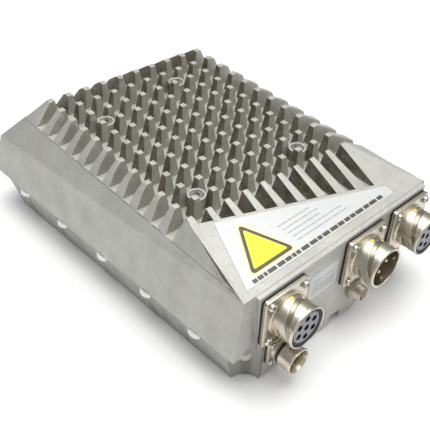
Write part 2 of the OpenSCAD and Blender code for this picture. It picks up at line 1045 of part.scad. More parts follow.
terminal_h = 20;
terminal_t = 12;
terminal_l = conn_a_x - 13.5;
terminal_r = conn_c_x + 8.9;
terminal_z = conn_z - terminal_h / 2;
lead_y = power_board_y - 4;
module power_terminals() {
  color([0.2, 0.45, 0.25])
    difference() {
      translate([terminal_l, lead_y, terminal_z])
        cube([terminal_r - terminal_l, terminal_t, terminal_h]);
      translate([-90, power_board_y - 0.01, board_top_z - board_t])
        cube([180, 30, board_t]);
      for (p = tray_screw_places)
        translate([p[0], p[1], part_z - 1])
          cylinder(d = boss_d + 1, h = tap_depth + tap_cap + 2);
    }
}

// control electronics in the tray
board_screw_d = 3;
standoff_base_h = 3;
board_y = front_y + 113.75;
board_hole_x = 62;
board_hole_y = 70;
board_edge = 5;
board_front = 13;
control_z = 13;
module control_board() {
  color([0.07, 0.27, 0.4])
    difference() {
      translate([-board_hole_x - board_edge, board_y - board_hole_y - board_front, control_z])
        cube([2 * (board_hole_x + board_edge), 2 * board_hole_y + board_edge + board_front, board_t]);
      standoff_places()
        cylinder(d = board_screw_d + 2 * screw_gap, h = 40);
    }
}

chips = [[-40, 38, 22, 22, 2.2], [0, 42, 14, 20, 2], [34, 28, 12, 18, 3], [-46, -2, 16, 10, 2.4],
  [-8, -8, 18, 18, 2.2], [30, -16, 10, 24, 2.6], [-30, -48, 26, 8, 3.2], [8, -50, 12, 12, 2.2]];
module control_chips() {
  color([0.1, 0.1, 0.11])
    for (c = chips)
      translate([c[0], board_y + c[1], control_z + board_t])
        cube([c[2], c[3], c[4]]);
}

module link_board() {
  color([0.1, 0.32, 0.2])
    translate([54, board_y + 44, control_z + board_t])
      cube([board_t, 30, board_top_z - 2 * board_t - control_z]);
}

module board_standoffs() {
  color([0.78, 0.64, 0.3])
    standoff_places()
      translate([0, 0, tray_floor + standoff_base_h])
        difference() {
          cylinder(d = 7, h = control_z - tray_floor - standoff_base_h, $fn = 6);
          translate([0, 0, -1])
            cylinder(d = board_screw_d + 2 * screw_gap, h = 20);
        }
}

module board_screws() {
  color([0.7, 0.7, 0.72])
    standoff_places() {
      translate([0, 0, 4])
        cylinder(d = board_screw_d, h = control_z + board_t - 3);
      translate([0, 0, control_z + board_t])
        cylinder(d = 5.5, h = 2.2);
    }
}

module power_leads() {
  color([0.35, 0.12, 0.1])
    for (x = [conn_a_x, conn_c_x], p = socket_places)
      translate([x + p[0], 0, conn_z + p[1]])
        out_cyl(2.8, contact_end_y, lead_y);
  color([0.35, 0.12, 0.1])
    at_conn(conn_b_x)
      for (p = pin_places)
        translate([p[0], 0, p[1]])
          out_cyl(2.8, contact_end_y, lead_y);
}

signal_block_y = front_y + 31.75;
module signal_header() {
  color([0.85, 0.83, 0.75])
    for (x = [conn_a_x, conn_b_x])
      translate([x - 7, signal_block_y, control_z + board_t])
        cube([14, 8, sig_z - control_z - board_t + 6]);
}

module signal_leads() {
  color([0.75, 0.75, 0.75]) {
    at_signal()
      for (p = sig_pins)
        translate([p[0], 0, p[1]])
          out_cyl(1.2, sig_end_y, signal_block_y);
    at_sensor()
      for (p = sensor_pins_at)
        translate([p[0], 0, p[1]])
          out_cyl(1.2, sig_end_y, signal_block_y);
  }
}

heatsink_casting();
lower_tray();
housing_gasket();
tray_screws();
module_screws();
nameplate();
nameplate_symbol();
nameplate_bars();
serial_sticker();
conn_a_shell();
conn_a_gasket();
conn_a_insert();
conn_a_seal();
conn_a_contacts();
conn_b_shell();
conn_b_gasket();
conn_b_insert();
conn_b_contacts();
conn_c_shell();
conn_c_gasket();
conn_c_insert();
conn_c_seal();
conn_c_contacts();
flange_screws();
index_marks();
signal_flange();
signal_gasket();
signal_sleeve();
signal_ring();
signal_insert();
signal_pins();
signal_screws();
sensor_body();
sensor_nut();
sensor_insert();
sensor_pins();
thermal_pad();
power_module();
power_board();
dc_link_capacitors();
link_inductor();
power_terminals();
power_leads();
control_board();
control_chips();
link_board();
signal_header();
signal_leads();
board_standoffs();
board_screws();
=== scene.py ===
"""Looks of the servo drive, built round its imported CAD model. Lengths in the tables are millimetres."""

import json
import math
import random

import bmesh
import bpy
from mathutils import Matrix, Vector


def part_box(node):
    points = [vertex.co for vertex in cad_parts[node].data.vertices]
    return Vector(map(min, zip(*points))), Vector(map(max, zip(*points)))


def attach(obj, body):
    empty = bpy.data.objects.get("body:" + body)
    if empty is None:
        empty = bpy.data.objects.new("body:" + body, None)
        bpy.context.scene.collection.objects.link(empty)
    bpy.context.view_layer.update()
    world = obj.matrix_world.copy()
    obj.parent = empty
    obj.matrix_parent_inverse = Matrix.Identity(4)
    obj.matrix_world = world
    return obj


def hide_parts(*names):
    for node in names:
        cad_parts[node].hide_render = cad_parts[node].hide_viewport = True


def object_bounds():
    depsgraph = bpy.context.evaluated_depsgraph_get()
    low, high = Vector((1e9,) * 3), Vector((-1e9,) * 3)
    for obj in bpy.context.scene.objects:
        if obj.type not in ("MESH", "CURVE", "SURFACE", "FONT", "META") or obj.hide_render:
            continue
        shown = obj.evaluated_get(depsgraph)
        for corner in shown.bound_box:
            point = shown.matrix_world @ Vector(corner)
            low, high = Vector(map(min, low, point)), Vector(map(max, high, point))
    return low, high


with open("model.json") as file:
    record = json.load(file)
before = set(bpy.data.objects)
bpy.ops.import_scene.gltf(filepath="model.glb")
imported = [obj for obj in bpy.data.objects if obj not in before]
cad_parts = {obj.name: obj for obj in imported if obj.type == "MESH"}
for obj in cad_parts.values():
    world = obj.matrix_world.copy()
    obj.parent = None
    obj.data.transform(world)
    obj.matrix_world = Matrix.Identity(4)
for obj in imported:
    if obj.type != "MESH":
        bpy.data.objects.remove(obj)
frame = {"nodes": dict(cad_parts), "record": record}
NODES = frame["nodes"]
CAD_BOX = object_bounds()
MM = 0.001
BODY = "root"


# ---------------------------------------------------------------- node helpers
class Look:
    """One procedural material, built from object coordinates in metres."""

    def __init__(self, name, rough=0.5, metal=0.0, spec=0.5, coat=0.0, coat_rough=0.1):
        self.mat = bpy.data.materials.new(name)
        self.mat.use_nodes = True
        self.tree = self.mat.node_tree
        self.shader = self.tree.nodes["Principled BSDF"]
        self.put("Roughness", rough)
        self.put("Metallic", metal)
        self.put("Specular IOR Level", spec)
        self.put("Coat Weight", coat)
        self.put("Coat Roughness", coat_rough)
        self.place = self.add("ShaderNodeTexCoord").outputs["Object"]

    def add(self, kind, **settings):
        node = self.tree.nodes.new(kind)
        for key, value in settings.items():
            setattr(node, key, value)
        return node

    def join(self, value, socket):
        if isinstance(value, bpy.types.NodeSocket):
            self.tree.links.new(value, socket)
        else:
            socket.default_value = value

    def put(self, name, value):
        self.join(value, self.shader.inputs[name])

    def stretched(self, scale, turn=(0, 0, 0)):
        node = self.add("ShaderNodeMapping")
        self.join(self.place, node.inputs["Vector"])
        node.inputs["Scale"].default_value = scale
        node.inputs["Rotation"].default_value = turn
        return node.outputs["Vector"]

    def noise(self, scale, detail=3.0, rough=0.55, place=None, twist=0.0):
        node = self.add("ShaderNodeTexNoise")
        self.join(place or self.place, node.inputs["Vector"])
        node.inputs["Scale"].default_value = scale
        node.inputs["Detail"].default_value = detail
        node.inputs["Roughness"].default_value = rough
        node.inputs["Distortion"].default_value = twist
        return node.outputs["Fac"]

    def cells(self, scale, feature="F1", place=None):
        node = self.add("ShaderNodeTexVoronoi", feature=feature)
        self.join(place or self.place, node.inputs["Vector"])
        node.inputs["Scale"].default_value = scale
        return node.outputs["Distance"]

    def ramp(self, fac, *stops):
        node = self.add("ShaderNodeValToRGB")
        self.join(fac, node.inputs["Fac"])
        band = node.color_ramp
        while len(band.elements) < len(stops):
            band.elements.new(0.5)
        for element, (at, colour) in zip(band.elements, stops):
            element.position = at
            element.color = (*colour, 1) if isinstance(colour, tuple) else (colour,) * 3 + (1,)
        return node.outputs["Color"]

    def blend(self, fac, a, b, kind="MIX"):
        node = self.add("ShaderNodeMix", data_type="RGBA", blend_type=kind)
        self.join(fac, node.inputs["Factor"])
        for socket, value in ((node.inputs[6], a), (node.inputs[7], b)):
            self.join((*value, 1) if isinstance(value, tuple) else value, socket)
        return node.outputs[2]

    def spread(self, fac, low, high, from_low=0.0, from_high=1.0):
        node = self.add("ShaderNodeMapRange")
        self.join(fac, node.inputs["Value"])
        limits = {"From Min": from_low, "From Max": from_high, "To Min": low, "To Max": high}
        for key, value in limits.items():
            node.inputs[key].default_value = value
        return node.outputs["Result"]

    def axis(self, vector, letter):
        node = self.add("ShaderNodeSeparateXYZ")
        self.join(vector, node.inputs[0])
        return node.outputs[letter]

    def sum(self, a, b, kind="ADD"):
        node = self.add("ShaderNodeMath", operation=kind)
        self.join(a, node.inputs[0])
        self.join(b, node.inputs[1])
        return node.outputs[0]

    def bump(self, height, depth_mm, strength=1.0):
        node = self.add("ShaderNodeBump")
        self.join(height, node.inputs["Height"])
        node.inputs["Strength"].default_value = strength
        node.inputs["Distance"].default_value = depth_mm * MM
        self.put("Normal", node.outputs["Normal"])


# ---------------------------------------------------------------- materials
def cast_look(name, light, dark, stain, rough, fin_mm=None, lug_mm=None):
    """Sand-cast aluminium; painted shade on steep faces above fin_mm, bright metal further out than lug_mm.
    """
    look = Look(name, metal=0.5, spec=0.5)
    mottle = look.noise(55, 4, 0.6)
    blotch = look.noise(14, 3, 0.5, twist=0.4)
    grain = look.noise(900, 3, 0.65)
    colour = look.ramp(mottle, (0.3, dark), (0.7, light))
    colour = look.blend(look.spread(blotch, 0, 0.55, 0.52, 0.75), colour, stain)
    speck = look.spread(look.noise(420, 2, 0.6), 0.0, 0.35, 0.58, 0.75)
    colour = look.blend(speck, colour, tuple(c * 0.62 for c in dark))
    if fin_mm:
        # painted shade: steep faces above fin_mm are darkened, darkest on faces looking towards -X, mottled
        # by noise
        up = look.axis(look.add("ShaderNodeNewGeometry").outputs["True Normal"], "Z")
        steep = look.spread(up, 1.0, 0.0, 0.28, 0.36)
        high = look.spread(look.axis(look.place, "Z"), 0.0, 1.0, (fin_mm - 0.6) * MM, (fin_mm + 1.5) * MM)
        painted_pin_shade = look.sum(steep, high, "MULTIPLY")
        facing = look.axis(look.add("ShaderNodeNewGeometry").outputs["True Normal"], "X")
        side = look.spread(facing, 1.0, 0.0, -0.75, -0.25)
        shade_mottle = look.noise(150, 4, 0.65, twist=0.3)
        front_shade = look.ramp(shade_mottle, (0.3, (0.36, 0.347, 0.30)), (0.7, (0.48, 0.47, 0.42)))
        side_shade = look.ramp(shade_mottle, (0.32, (0.10, 0.080, 0.055)), (0.62, (0.24, 0.215, 0.17)))
        colour = look.blend(painted_pin_shade, colour, look.blend(side, front_shade, side_shade))
    if lug_mm:
        outward = look.sum(look.axis(look.place, "X"), 0.0, "ABSOLUTE")
        bright = look.spread(outward, 0.0, 1.0, lug_mm * MM, (lug_mm + 0.2) * MM)
        colour = look.blend(bright, colour, (0.80, 0.80, 0.78))
        marks = look.noise(60, 2, 0.5, look.stretched((1.0, 1.6, 0.25)))
        colour = look.blend(look.spread(marks, 0.0, 0.55, 0.56, 0.66), colour, (0.17, 0.155, 0.125))
    look.put("Base Color", colour)
    look.put("Roughness", look.spread(grain, rough - 0.08, rough + 0.12, 0.3, 0.7))
    pits = look.spread(look.cells(700), 0.0, 1.0, 0.0, 0.6)
    look.bump(look.sum(grain, look.sum(pits, 0.5, "MULTIPLY")), 0.32, 0.75)
    return look.mat


def plain_look(name, colour, rough=0.5, metal=0.0, vary=0.12, grain=600, depth=0.05, coat=0.0, spec=0.5):
    look = Look(name, rough, metal, spec, coat)
    shade = look.noise(grain * 0.12, 3, 0.55)
    low = tuple(c * (1 - vary) for c in colour)
    high = tuple(min(1, c * (1 + vary)) for c in colour)
    look.put("Base Color", look.ramp(shade, (0.3, low), (0.7, high)))
    fine = look.noise(grain, 3, 0.6)
    look.put("Roughness", look.spread(fine, rough * 0.85, min(1, rough * 1.2), 0.3, 0.7))
    look.bump(fine, depth, 0.6)
    return look.mat


def nickel_look():
    """Satin nickel plate with turning marks; a per-vertex attribute of a mesh paints shade into its ramps,
    darker where they are deeper.
    """
    look = Look("nickel", 0.3, 1.0)
    turned = look.noise(700, 2, 0.5, look.stretched((0.02, 3.0, 0.02)))
    haze = look.noise(130, 3, 0.6)
    dull = look.spread(haze, 0, 0.8, 0.35, 0.75)
    colour = look.blend(dull, (0.64, 0.595, 0.50), (0.47, 0.43, 0.345))
    # painted shade in the ramps, weighted by the per-vertex depth attribute
    recess_shade = look.add("ShaderNodeAttribute", attribute_name="recess_shade").outputs["Fac"]
    look.put("Base Color", look.blend(look.sum(recess_shade, 0.7, "MULTIPLY"), colour, (0.23, 0.20, 0.145)))
    look.put("Roughness", look.spread(look.sum(turned, haze), 0.27, 0.42, 0.7, 1.4))
    look.bump(turned, 0.004, 0.35)
    return look.mat


def screw_look():
    look = Look("screw_zinc", 0.25, 1.0)
    marks = look.noise(1500, 2, 0.6)
    shade = look.ramp(look.noise(300, 2), (0.3, (0.50, 0.50, 0.47)), (0.7, (0.68, 0.67, 0.63)))
    look.put("Base Color", shade)
    look.put("Roughness", look.spread(marks, 0.15, 0.4, 0.3, 0.7))
    look.bump(marks, 0.02, 0.5)
    return look.mat


def insert_look():
    """Grey moulding with bores painted near-black as shade: every face that does not look out of the wall is
    dark.
    """
    look = Look("insert_grey", 0.45)
    shade = look.ramp(look.noise(70, 3), (0.3, (0.19, 0.195, 0.225)), (0.7, (0.235, 0.24, 0.27)))
    facing = look.axis(look.add("ShaderNodeNewGeometry").outputs["True Normal"], "Y")
    # painted shade: faces that do not look out along -Y are turned near-black
    bore_shade = look.spread(facing, 0.0, 1.0, -0.9, -0.6)
    look.put("Base Color", look.blend(bore_shade, shade, (0.004, 0.004, 0.004)))
    look.bump(look.noise(600), 0.03, 0.6)
    return look.mat


CAST = cast_look("cast_upper", (0.52, 0.52, 0.488), (0.42, 0.42, 0.392), (0.46, 0.44, 0.39),
                 rough=0.5, fin_mm=79.0)
CAST_LOW = cast_look("cast_lower", (0.42, 0.42, 0.396), (0.33, 0.33, 0.308), (0.34, 0.325, 0.28),
                     rough=0.52, lug_mm=93.2)
NICKEL = nickel_look()
ZINC = screw_look()
RUBBER = plain_look("seal_rubber", (0.009, 0.008, 0.009), 0.6, depth=0.03)
LABEL = plain_look("label_sheet", (0.57, 0.583, 0.575), 0.32, vary=0.02, grain=1500, depth=0.008, coat=0.15)
PRINT = {"grain": 1500, "depth": 0.005}
YELLOW = plain_look("print_yellow", (0.80, 0.76, 0.022), 0.33, vary=0.03, **PRINT)
PALE_YELLOW = plain_look("print_pale_yellow", (0.95, 0.83, 0.30), 0.33, vary=0.03, **PRINT)
INK = plain_look("print_ink", (0.075, 0.062, 0.045), 0.35, vary=0.15, **PRINT)
GREY_INK = plain_look("print_grey", (0.36, 0.37, 0.39), 0.4, vary=0.12, **PRINT)
MARK = plain_look("index_paint", (0.95, 0.66, 0.01), 0.35, vary=0.05, depth=0.02)
GREY_INSERT = insert_look()
BROWN_INSERT = plain_look("insert_brown", (0.055, 0.042, 0.024), 0.5, vary=0.2, depth=0.03)
GOLD = plain_look("contact_gold", (0.75, 0.60, 0.32), 0.28, metal=1.0, depth=0.01)
SMALLS = {
    "thermal_pad": ("pad_pink", (0.55, 0.28, 0.33), 0.8, 0.0),
    "module_black": ("moulded_black", (0.03, 0.03, 0.033), 0.45, 0.0),
    "board_green": ("mask_green", (0.015, 0.11, 0.04), 0.4, 0.0),
    "board_blue": ("mask_blue", (0.01, 0.07, 0.14), 0.4, 0.0),
    "capacitor_sleeve": ("sleeve_blue", (0.02, 0.025, 0.06), 0.3, 0.0),
    "copper_winding": ("winding_copper", (0.50, 0.20, 0.06), 0.35, 0.8),
    "terminal_green": ("terminal_green", (0.03, 0.16, 0.05), 0.45, 0.0),
    "lead_red": ("lead_red", (0.25, 0.015, 0.012), 0.4, 0.0),
    "lead_grey": ("lead_grey", (0.35, 0.35, 0.35), 0.4, 0.0),
    "header_ivory": ("header_ivory", (0.62, 0.58, 0.44), 0.45, 0.0),
    "brass": ("turned_brass", (0.62, 0.44, 0.15), 0.3, 1.0),
}
LOOKS = {
    "cast_aluminium": CAST, "cast_aluminium_dark": CAST_LOW, "black_rubber": RUBBER, "zinc_steel": ZINC,
    "label_white": LABEL, "label_yellow": YELLOW, "label_ink": INK, "index_yellow": MARK,
    "nickel_plate": NICKEL, "insert_grey": GREY_INSERT, "insert_brown": BROWN_INSERT, "contact_gold": GOLD,
}
for slot_name, (look_name, colour, rough, metal) in SMALLS.items():
    LOOKS[slot_name] = plain_look(look_name, colour, rough, metal, grain=900)


def soften(node, width_mm, deg=28, segments=2):
    """Rounds the sharp edges of a CAD node with modifiers only; its mesh stays as it is."""
    obj = NODES[node]
    weld = obj.modifiers.new("weld", "WELD")
    weld.merge_threshold = 6e-5
    edges = obj.modifiers.new("edges", "BEVEL")
    edges.width = width_mm * MM
    edges.segments = segments
    edges.limit_method = "ANGLE"
    edges.angle_limit = math.radians(deg)
    edges.use_clamp_overlap = False
    edges.miter_outer = "MITER_ARC"
    edges.harden_normals = True


SLOT_OF = {row["node"]: row["material_slot"] for row in frame["record"]["subparts"]}
for node_name, obj in NODES.items():
    obj.data.materials.clear()
    obj.data.materials.append(LOOKS[SLOT_OF[node_name]])


# ---------------------------------------------------------------- mesh helpers
CORNERS = [(-1, -1), (1, -1), (1, 1), (-1, 1)]


def made(name, verts, faces, look, nodes=(), edge_deg=32):
    """A finished piece from vertices in metres: smooth shaded, sharp above edge_deg, riding on the body."""
    mesh = bpy.data.meshes.new(name)
    mesh.from_pydata([tuple(v) for v in verts], [], faces)
    return finished(name, mesh, look, nodes, edge_deg)


def finished(name, mesh, look, nodes=(), edge_deg=32):
    shape = bmesh.new()
    shape.from_mesh(mesh)
    bmesh.ops.remove_doubles(shape, verts=shape.verts, dist=1e-6)
    bmesh.ops.recalc_face_normals(shape, faces=shape.faces)
    shape.to_mesh(mesh)
    shape.free()
    mesh.shade_smooth()
    mesh.set_sharp_from_angle(angle=math.radians(edge_deg))
    mesh.materials.append(look)
    obj = bpy.data.objects.new(name, mesh)
    bpy.context.scene.collection.objects.link(obj)
    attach(obj, BODY)
    if nodes:
        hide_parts(*nodes)
    return obj


class Shape:
    """Vertices and faces of one piece, gathered part by part."""

    def __init__(self):
        self.verts = []
        self.faces = []

    def grid(self, rows, closed_rows=False, caps=False):
        """Quads between rings of points; the last ring joins the first if closed_rows."""
        start, count = len(self.verts), len(rows[0])
        for row in rows:
            self.verts += row
        pairs = [(i, i + 1) for i in range(len(rows) - 1)]
        if closed_rows:
            pairs.append((len(rows) - 1, 0))
        for a, b in pairs:
            for k in range(count):
                n = (k + 1) % count
                low, high = start + a * count, start + b * count
                self.faces.append((low + k, low + n, high + n, high + k))
        if caps:
            last = start + (len(rows) - 1) * count
            self.faces.append(tuple(start + k for k in reversed(range(count))))
            self.faces.append(tuple(last + k for k in range(count)))

    def lathe(self, centre, profile, count=64, radius=None, caps=False, closed=True):
        """A profile of (radius, y) in millimetres turned about the Y axis through centre = (x, z)."""
        rows = []
        for r, y in profile:
            row = []
            for k in range(count):
                a = 2 * math.pi * k / count
                rr = radius(r, y, a) if radius else r
                row.append(Vector((centre[0] + rr * math.sin(a), y, centre[1] + rr * math.cos(a))) * MM)
            rows.append(row)
        self.grid(rows, closed_rows=closed, caps=caps)

    def stud(self, place, profile, count=28, hexed=()):
        """A closed profile of (radius, height) turned about place's Z; rows listed in hexed are hexagons."""
        rows = []
        for i, (r, h) in enumerate(profile):
            row = []
            for k in range(count):
                a = 2 * math.pi * k / count
                rr = r
                if i in hexed:
                    rr = r / math.cos((a + math.pi / 6) % (math.pi / 3) - math.pi / 6)
                row.append(place @ Vector((rr * math.cos(a), rr * math.sin(a), h)) * MM)
            rows.append(row)
        self.grid(rows, caps=True)


def flat(name, loops, thickness, round_mm=0.0):
    """A mesh plate of the outline and holes in loops, from z 0 to thickness, with rounded edges."""
    curve = bpy.data.curves.new(name, "CURVE")
    curve.dimensions = "2D"
    curve.fill_mode = "BOTH"
    for loop in loops:
        spline = curve.splines.new("POLY")
        spline.points.add(len(loop) - 1)
        for point, (x, y) in zip(spline.points, loop):
            point.co = (x * MM, y * MM, 0, 1)
        spline.use_cyclic_u = True
    curve.extrude = (thickness / 2 - round_mm) * MM
    curve.bevel_depth = round_mm * MM
    curve.bevel_resolution = 2
    curve.offset = -round_mm * MM
    obj = bpy.data.objects.new(name, curve)
    bpy.context.scene.collection.objects.link(obj)
    bpy.context.view_layer.update()
    mesh = bpy.data.meshes.new_from_object(obj.evaluated_get(bpy.context.evaluated_depsgraph_get()))
    bpy.data.objects.remove(obj)
    mesh.name = name
    mesh.transform(Matrix.Translation((0, 0, thickness / 2 * MM)))
    return mesh


def arc_loop(points, count=6):
    """Corners given as (x, y, radius) become a loop with rounded corners."""
    loop = []
    total = len(points)
    for i, (x, y, radius) in enumerate(points):
        here = Vector((x, y))
        back = (Vector(points[i - 1][:2]) - here).normalized()
        on = (Vector(points[(i + 1) % total][:2]) - here).normalized()
        if radius <= 0:
            loop.append((x, y))
            continue
        half = back.angle(on) / 2
        reach = radius / math.tan(half)
        centre = here + (back + on).normalized() * (radius / math.sin(half))
        a, b = here + back * reach - centre, here + on * reach - centre
        turn = math.atan2(a.x * b.y - a.y * b.x, a.dot(b))
        for k in range(count + 1):
            t = turn * k / count
            p = centre + Matrix.Rotation(t, 2) @ a
            loop.append((p.x, p.y))
    return loop


def rounded_square(side, radius):
    return arc_loop([(sx * side / 2, sz * side / 2, radius) for sx, sz in CORNERS])


def ring_loop(x, y, radius, count=32):
    turns = [2 * math.pi * k / count for k in range(count)]
    return [(x + radius * math.cos(a), y - radius * math.sin(a)) for a in turns]


def box_mm(node):
    low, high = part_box(node)
    return low / MM, high / MM


FORWARD = Matrix.Rotation(math.radians(90), 4, "X")  # a plate's Z turns to -Y and its Y to Z


def facing_front(mesh, x, y, z):
    """Stands a flat plate up on the front wall: its back at y, its face towards -Y."""
    mesh.transform(Matrix.Translation(Vector((x, y, z)) * MM) @ FORWARD)
    return mesh


def joined(name, meshes):
    shape = bmesh.new()
    for mesh in meshes:
        shape.from_mesh(mesh)
    out = bpy.data.meshes.new(name)
    shape.to_mesh(out)
    shape.free()
    return out


# ---------------------------------------------------------------- receptacles
FRONT_Y = box_mm("conn_a_gasket")[1].y
FLANGE_BACK = box_mm("conn_a_gasket")[0].y
FLANGE_T = 3.2
SCREW_SPACING = 29.4
BARREL_R = 14.4
RAMPS = 3
SIGNAL_FLANGE_T = 2.4
SIGNAL_SCREW_AT = 7.7  # from the axis to each screw, across and up
SLEEVE_R = 9.2
NECK_R = 7.3
THREAD_R = 6.0
NUT_T = 3.0
DOT_ANGLES = (0, -125)


def middle(node):
    """X and Z of the middle of a node, in millimetres."""
    low, high = box_mm(node)
    return (low.x + high.x) / 2, (low.z + high.z) / 2


def barrel_radius(flange_y, tip_y):
    """Shallow spiral ramps cut in the barrel, each starting near the flange with a round end."""
    sweep, half_width, depth, edge = math.radians(112), 1.8, 0.6, 0.28
    first_lead, turn = math.radians(24), 2 * math.pi
    start_y, end_y = flange_y - 6.0, tip_y + 3.2

    def radius(r, y, a):
        cut = 0.0
        for lead in range(RAMPS):
            t = ((first_lead + turn / RAMPS * lead - a) % turn) / sweep
            overshoot = 0.0
            if t > 1.0:
                overshoot = min(t - 1.0, turn / sweep - t) * sweep * r
                t = 1.0 if t < (1 + turn / sweep) / 2 else 0.0
            mid = start_y + (end_y - start_y) * t ** 1.4
            off = math.hypot(y - mid, overshoot)
            side = min(1.0, max(0.0, (half_width - off) / edge))
            cut = max(cut, depth * side * side * (3 - 2 * side))
        return r - cut

    return radius


def power_shell(letter):
    low, high = box_mm(f"conn_{letter}_shell")
    cx, cz = middle(f"conn_{letter}_shell")
    tip, back = low.y, high.y
    face = FLANGE_BACK - FLANGE_T
    cup = 13.1 if letter == "b" else 13.7
    web = face - 2
    side = high.x - low.x
    step = 0.9  # the flange's rear is a little smaller, over this thickness
    at_screw = SCREW_SPACING / 2
    holes = [ring_loop(sx * at_screw, sz * at_screw, 1.8, 20) for sx, sz in CORNERS]
    plate = flat("plate", [rounded_square(side, 2.6)] + holes, FLANGE_T - step, 0.35)
    facing_front(plate, cx, FLANGE_BACK - step, cz)
    rear_plate = flat("rear_plate", [rounded_square(side - 1.0, 2.4)] + holes, step + 0.05, 0.2)
    facing_front(rear_plate, cx, FLANGE_BACK, cz)
    shape = Shape()
    cut = barrel_radius(face, tip)
    rows = [(15.4, face + 0.1), (15.4, face - 0.25), (14.9, face - 0.75), (BARREL_R, face - 0.95)]
    plain_rows = len(rows)
    y = face - 1.1
    while y > tip + 2.7:
        rows.append((BARREL_R, y))
        y -= 0.28
    outer = len(rows)
    rows += [(BARREL_R, tip + 2.4), (14.8, tip + 1.9), (14.8, tip + 0.5), (14.55, tip + 0.12), (14.2, tip),
             (cup + 0.25, tip), (cup, tip + 0.3), (cup, web - 0.3), (cup - 0.3, web),
             (9.7, web), (9.5, web + 0.2), (9.5, back), (10.9, back), (11.0, back - 0.2), (11.0, face + 0.1)]
    profile = {row: k for k, row in enumerate(rows)}

    def radius(r, y, a):
        k = profile.get((r, y), 0)
        return cut(r, y, a) if plain_rows <= k < outer else r

    shape.lathe((cx, cz), rows, 168, radius)
    mesh = bpy.data.meshes.new("barrel")
    mesh.from_pydata([tuple(v) for v in shape.verts], [], shape.faces)
    whole = joined(f"receptacle_{letter}", [plate, rear_plate, mesh])
    name = f"receptacle_{letter}_shell"
    shell = finished(name, whole, NICKEL, [f"conn_{letter}_shell"], 38)
    # per-vertex depth below the barrel's surface, which sets the painted shade in the ramps
    recess_shade = shell.data.attributes.new("recess_shade", "FLOAT", "POINT")
    for k, vert in enumerate(shell.data.vertices):
        r = math.hypot(vert.co.x / MM - cx, vert.co.z / MM - cz)
        on_barrel = tip + 2.6 < vert.co.y / MM < face - 1.2 and r > 13.75
        recess_shade.data[k].value = min(1.0, max(0.0, (BARREL_R - 0.02 - r) / 0.45)) if on_barrel else 0.0
    if letter == "b":
        keys = Shape()
        for deg in (18, 96, 168, 240, 305):
            a = math.radians(deg)
            out = Vector((math.sin(a), 0, math.cos(a)))
            along = Vector((math.cos(a), 0, -math.sin(a)))
            corners = [(cup - 1.1, -0.8), (cup - 1.1, 0.8), (cup + 0.2, 1.0), (cup + 0.2, -1.0)]
            ends = [Vector((cx, y, cz)) for y in (tip + 3.5, web - 0.1)]
            keys.grid([[(end + out * r + along * t) * MM for r, t in corners] for end in ends], caps=True)
        made(f"receptacle_{letter}_keys", keys.verts, keys.faces, NICKEL)


def screw_profile(head_r, head_h, shank_r, shank, hex_r):
    """From the end of the shank up to the domed head and into its hexagon socket."""
    return [(shank_r * 0.7, -shank), (shank_r, -shank + 0.4), (shank_r, 0),
            (head_r * 0.96, 0), (head_r, head_h * 0.12), (head_r, head_h * 0.45),
            (head_r * 0.93, head_h * 0.75), (head_r * 0.75, head_h * 0.93), (head_r * 0.55, head_h),
            (hex_r * 1.12, head_h), (hex_r, head_h - 0.15),
            (hex_r * 0.97, head_h * 0.35), (hex_r * 0.5, head_h * 0.3)]


HEX_ROWS = (9, 10, 11)  # rows of screw_profile that form the socket


def front_screws():
    shape = Shape()
    for letter in "abc":
        cx, cz = middle(f"conn_{letter}_shell")
        for k, (sx, sz) in enumerate(CORNERS):
            at = Vector((cx + sx * SCREW_SPACING / 2, FLANGE_BACK - FLANGE_T, cz + sz * SCREW_SPACING / 2))
            place = Matrix.Translation(at) @ FORWARD @ Matrix.Rotation(k * 1.1 + ord(letter), 4, "Z")
            shape.stud(place, screw_profile(2.75, 2.4, 1.5, 10.5, 1.25), hexed=HEX_ROWS)
    made("flange_screw_set", shape.verts, shape.faces, ZINC, ["flange_screws"])
    cx, cz = middle("signal_flange")
    small = Shape()
    for k, (sx, sz) in enumerate(CORNERS):
        at = Vector((cx + sx * SIGNAL_SCREW_AT, FLANGE_BACK - SIGNAL_FLANGE_T, cz + sz * SIGNAL_SCREW_AT))
        place = Matrix.Translation(at) @ FORWARD @ Matrix.Rotation(k * 0.9, 4, "Z")
        small.stud(place, screw_profile(2.2, 2.0, 1.25, 8.8, 1.0), hexed=HEX_ROWS)
    made("signal_screw_set", small.verts, small.faces, ZINC, ["signal_screws"])


